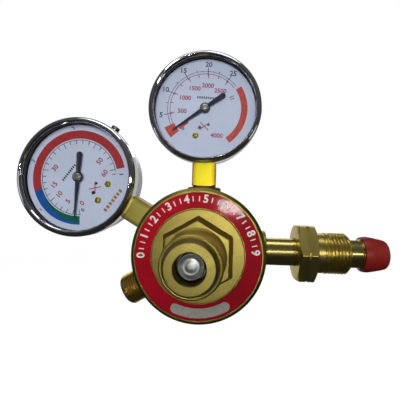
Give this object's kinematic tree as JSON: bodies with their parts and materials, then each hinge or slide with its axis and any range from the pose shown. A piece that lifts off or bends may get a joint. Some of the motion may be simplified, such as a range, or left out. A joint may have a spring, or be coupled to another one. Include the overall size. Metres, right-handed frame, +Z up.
{
  "type": "two-gauge gas cylinder regulator",
  "caption": "Brass diaphragm pressure regulator with a contents gauge, a delivery gauge, a left-hand union inlet with dust cap and a threaded hose outlet.",
  "frame": {"origin": "centre of the inlet nose end, where the regulator seats in the cylinder valve", "axes": "+X out of the inlet towards the cylinder valve, -Y out of the bonnet towards the user, +Z up through the cylinder-pressure gauge"},
  "size_m": [0.2015, 0.0911, 0.1455],
  "materials": {
    "brass": "machined, satin",
    "socket_brass": "bright machined",
    "forged_brass": "forged and darkened, satin",
    "label": "printed crimson, satin gloss",
    "steel": "turned",
    "spring_steel": "drawn wire",
    "chrome": "polished",
    "case_steel": "satin plated",
    "window": "clear, polished",
    "dial": "printed matt white",
    "pointer": "matt black",
    "rubber": "matt",
    "cap": "soft moulded, dull red",
    "bronze": "drawn or sintered"
  },
  "bodies": {
    "regulator": {"body": "forged_brass", "bonnet": "brass", "label_ring": "label", "slip_ring": "steel", "diaphragm": "rubber", "nozzle": "brass", "rear_plug": "brass", "rear_gasket": "bronze", "inlet_stem": "brass", "inlet_filter": "bronze", "outlet_nipple": "forged_brass", "poppet_spring": "spring_steel", "main_spring": "spring_steel", "high_pressure_case": "case_steel", "high_pressure_case_plug": "rubber", "high_pressure_bezel": "chrome", "high_pressure_lens": "window", "high_pressure_lens_gasket": "rubber", "high_pressure_dial": "dial", "high_pressure_dial_screw_1": "socket_brass", "high_pressure_socket": "socket_brass", "high_pressure_movement_frame": "brass", "high_pressure_hairspring": "spring_steel", "high_pressure_stop_pin": "steel", "delivery_case": "case_steel", "delivery_case_plug": "steel", "delivery_bezel": "chrome", "delivery_lens": "window", "delivery_lens_gasket": "rubber", "delivery_dial": "dial", "delivery_dial_screw_1": "socket_brass", "delivery_socket": "socket_brass", "delivery_movement_frame": "brass", "delivery_hairspring": "spring_steel", "delivery_dial_screw_2": "socket_brass"},
    "button": {"spring_button": "steel"},
    "diaphragm_plates": {"diaphragm_plate": "brass", "diaphragm_washer": "brass"},
    "valve": {"push_pin": "steel", "valve_seat": "rubber", "valve_poppet": "brass"},
    "union_nut": {"inlet_nut": "forged_brass"},
    "cap": {"dust_cap": "cap"},
    "high_pressure_needle": {"high_pressure_pointer": "pointer", "high_pressure_pointer_hub": "socket_brass", "high_pressure_pinion": "brass"},
    "high_pressure_sector": {"high_pressure_sector_gear": "brass"},
    "high_pressure_tube": {"high_pressure_bourdon_tube": "bronze", "high_pressure_tube_tip": "brass"},
    "high_pressure_link_bar": {"high_pressure_link": "brass"},
    "delivery_needle": {"delivery_pointer": "pointer", "delivery_pointer_hub": "socket_brass", "delivery_pinion": "brass"},
    "delivery_sector": {"delivery_sector_gear": "brass"},
    "delivery_tube": {"delivery_bourdon_tube": "bronze", "delivery_tube_tip": "brass"},
    "delivery_link_bar": {"delivery_link": "brass"}
  },
  "joints": [
    {"name": "spring_button_press", "type": "slide", "parent": "regulator", "child": "button", "axis": [0, 1, 0], "range_m": [0, 0.008], "stiffness_N_per_m": 6000, "deforming": ["main_spring"]},
    {"name": "diaphragm_travel", "type": "slide", "parent": "regulator", "child": "diaphragm_plates", "axis": [0, 1, 0], "range_m": [0, 0.0008], "stiffness_N_per_m": 4000, "deforming": ["diaphragm"]},
    {"name": "valve_travel", "type": "slide", "parent": "regulator", "child": "valve", "axis": [0, 1, 0], "range_m": [0, 0.0008], "deforming": ["poppet_spring"]},
    {"name": "union_nut_turn", "type": "hinge", "parent": "regulator", "child": "union_nut", "pos_m": [-0.0396, 0, 0], "axis": [1, 0, 0], "continuous": true},
    {"name": "dust_cap_pull", "type": "slide", "parent": "regulator", "child": "cap", "axis": [1, 0, 0], "range_m": [0, 0.02]},
    {"name": "high_pressure_pointer_turn", "type": "hinge", "parent": "regulator", "child": "high_pressure_needle", "pos_m": [-0.0996, -0.0048, 0.0802], "axis": [0, 1, 0], "range_deg": [-3, 264], "stiffness_Nm_per_rad": 0.0001, "deforming": ["high_pressure_hairspring"]},
    {"name": "high_pressure_sector_swing", "type": "hinge", "parent": "regulator", "child": "high_pressure_sector", "pos_m": [-0.0879, 0.0033, 0.0736], "axis": [0, 1, 0], "range_deg": [-29.3, 0.5]},
    {"name": "high_pressure_tube_flex", "type": "hinge", "parent": "regulator", "child": "high_pressure_tube", "pos_m": [-0.10748, 0.0039, 0.05966], "axis": [0, 1, 0], "range_deg": [-4.4, 0.1]},
    {"name": "high_pressure_link_swing", "type": "hinge", "parent": "high_pressure_sector", "child": "high_pressure_link_bar", "pos_m": [-0.08389, 0.0045, 0.07134], "axis": [0, 1, 0], "range_deg": [-0.5, 29.3]},
    {"name": "delivery_pointer_turn", "type": "hinge", "parent": "regulator", "child": "delivery_needle", "pos_m": [-0.16602, -0.0161, 0.03835], "axis": [0, 1, 0], "range_deg": [0, 264], "stiffness_Nm_per_rad": 0.0001, "deforming": ["delivery_hairspring"]},
    {"name": "delivery_sector_swing", "type": "hinge", "parent": "regulator", "child": "delivery_sector", "pos_m": [-0.15446, -0.008, 0.04518], "axis": [0, 1, 0], "range_deg": [-29.3, 0.5]},
    {"name": "delivery_tube_flex", "type": "hinge", "parent": "regulator", "child": "delivery_tube", "pos_m": [-0.15218, -0.0074, 0.02125], "axis": [0, 1, 0], "range_deg": [-4.4, 0.1]},
    {"name": "delivery_link_swing", "type": "hinge", "parent": "delivery_sector", "child": "delivery_link_bar", "pos_m": [-0.1505, -0.0068, 0.04752], "axis": [0, 1, 0], "range_deg": [-0.5, 29.3]}
  ],
  "couplings": [
    {"joint": "valve_travel", "follows": "diaphragm_travel", "ratio": 1},
    {"joint": "high_pressure_sector_swing", "follows": "high_pressure_pointer_turn", "ratio": -0.11017},
    {"joint": "high_pressure_link_swing", "follows": "high_pressure_pointer_turn", "ratio": 0.11017},
    {"joint": "high_pressure_tube_flex", "follows": "high_pressure_pointer_turn", "ratio": -0.0163},
    {"joint": "delivery_sector_swing", "follows": "delivery_pointer_turn", "ratio": -0.11017},
    {"joint": "delivery_link_swing", "follows": "delivery_pointer_turn", "ratio": 0.11017},
    {"joint": "delivery_tube_flex", "follows": "delivery_pointer_turn", "ratio": -0.0163}
  ]
}
